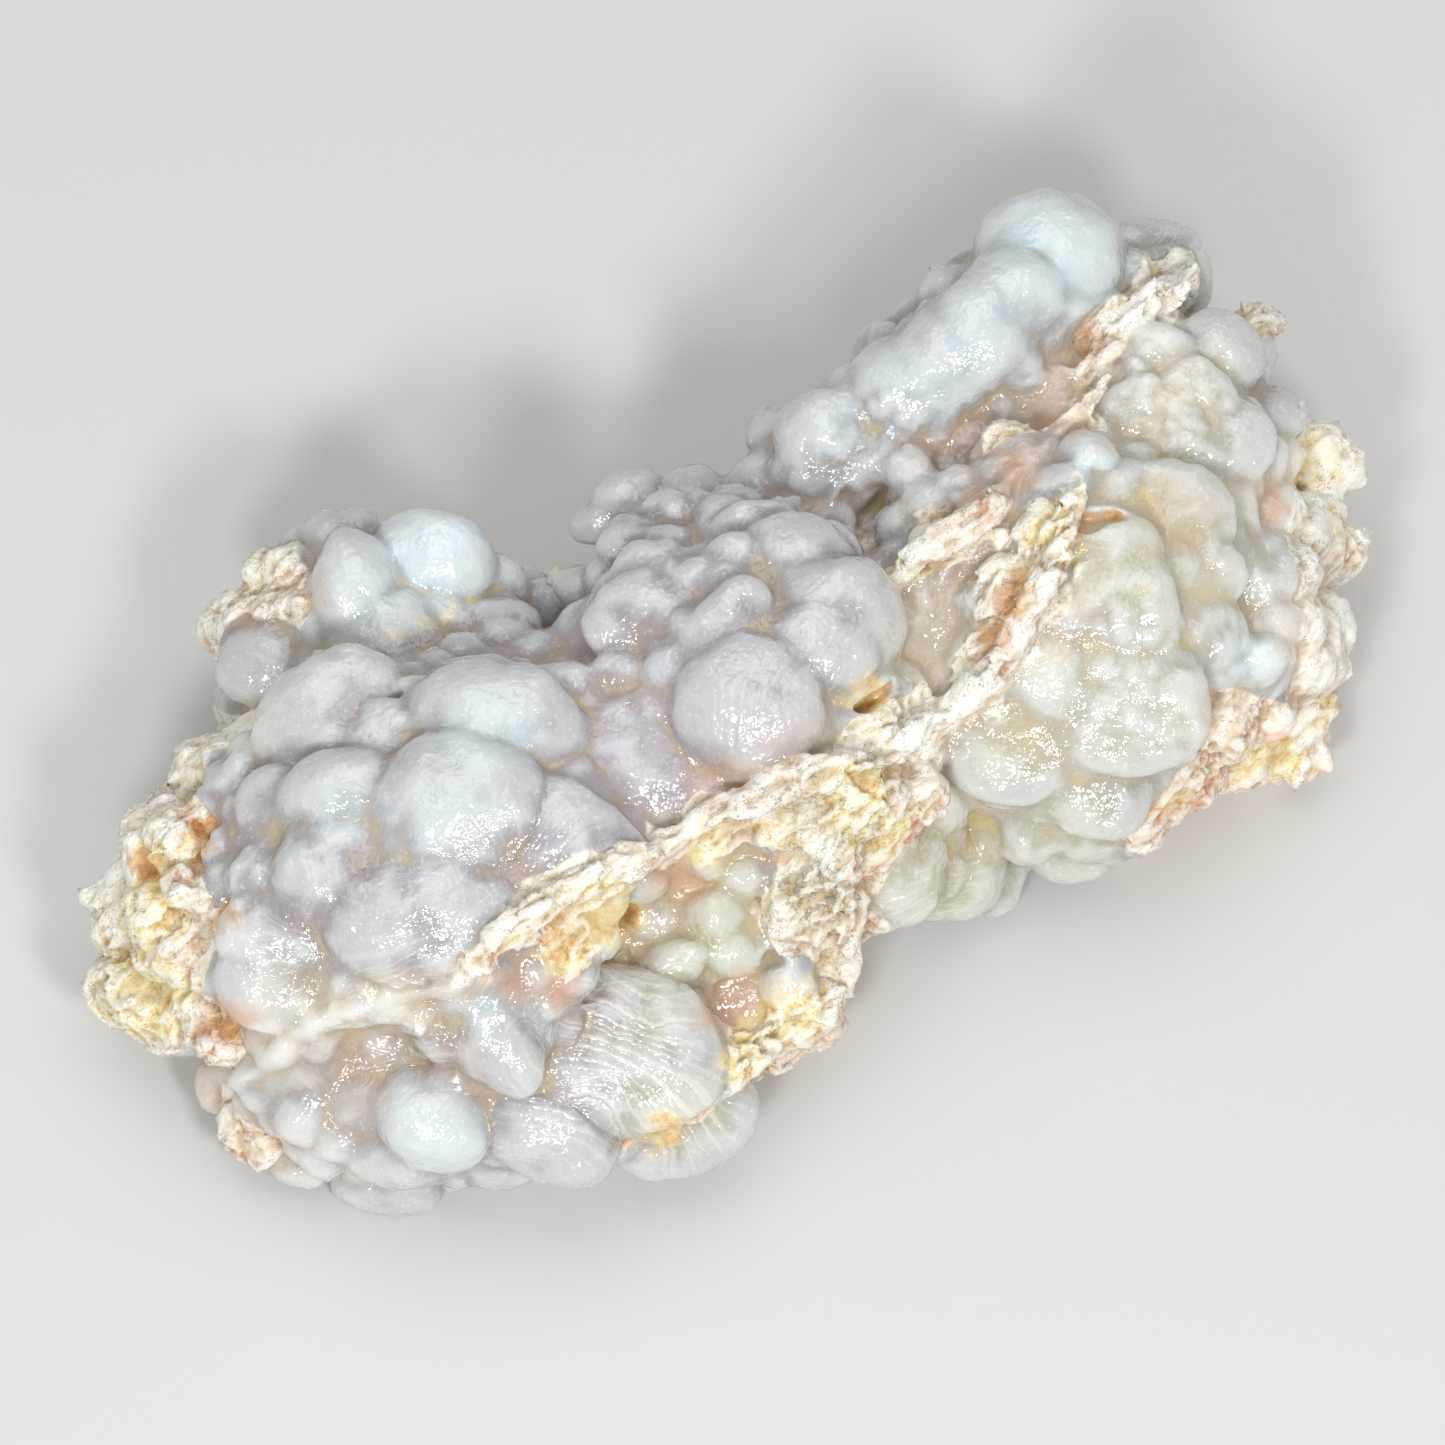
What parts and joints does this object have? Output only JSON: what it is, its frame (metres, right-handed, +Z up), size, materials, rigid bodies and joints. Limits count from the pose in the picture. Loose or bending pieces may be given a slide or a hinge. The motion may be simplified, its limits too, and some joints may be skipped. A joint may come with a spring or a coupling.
{
  "type": "mineral specimen",
  "caption": "Botryoidal pink opal: a long crust of milky rounded lumps on broken pink and cream matrix, resting on a flat broken base.",
  "frame": {"origin": "on the flat broken base, under the middle of the stone", "axes": "+Z up out of the display face, +X along the stone's length"},
  "size_m": [0.0955, 0.053, 0.0267],
  "materials": {
    "opal": "glossy"
  },
  "bodies": {
    "root": {"opal_stone": "opal"}
  },
  "joints": []
}
